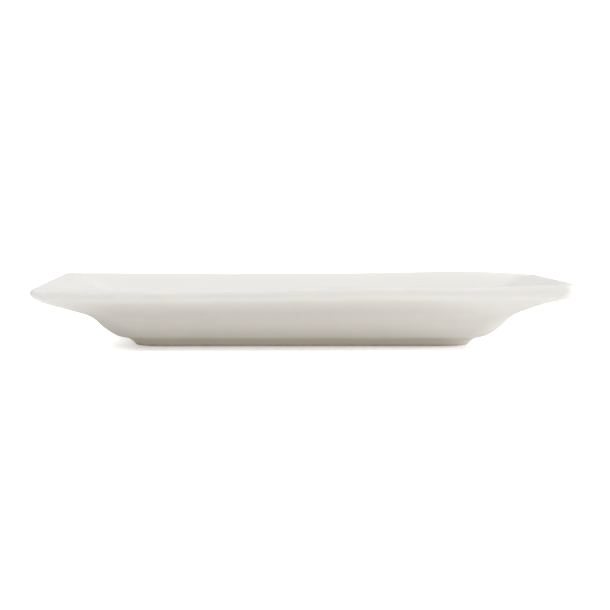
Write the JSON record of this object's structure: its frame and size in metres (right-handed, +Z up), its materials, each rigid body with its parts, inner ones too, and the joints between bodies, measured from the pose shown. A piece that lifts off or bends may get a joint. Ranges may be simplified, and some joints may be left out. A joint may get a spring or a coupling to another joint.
{
  "type": "serving platter",
  "caption": "Rectangular white china serving platter with a flat well, a curved wall, a wide upswept rim with a rounded, gently waved lip, and a low foot ring with a bare standing edge.",
  "frame": {"origin": "middle of the footprint, on the plane that the foot stands on", "axes": "+Z up out of the well, +X along the long side, -Y the front long edge, whose +X corner is the highest of the rim"},
  "size_m": [0.3502, 0.24, 0.0449],
  "materials": {
    "glazed_china": "glossy",
    "foot_glaze": "glossy",
    "bare_china": "matte"
  },
  "bodies": {
    "root": {"platter_body": "glazed_china", "foot_ring": "foot_glaze", "standing_edge": "bare_china"}
  },
  "joints": []
}
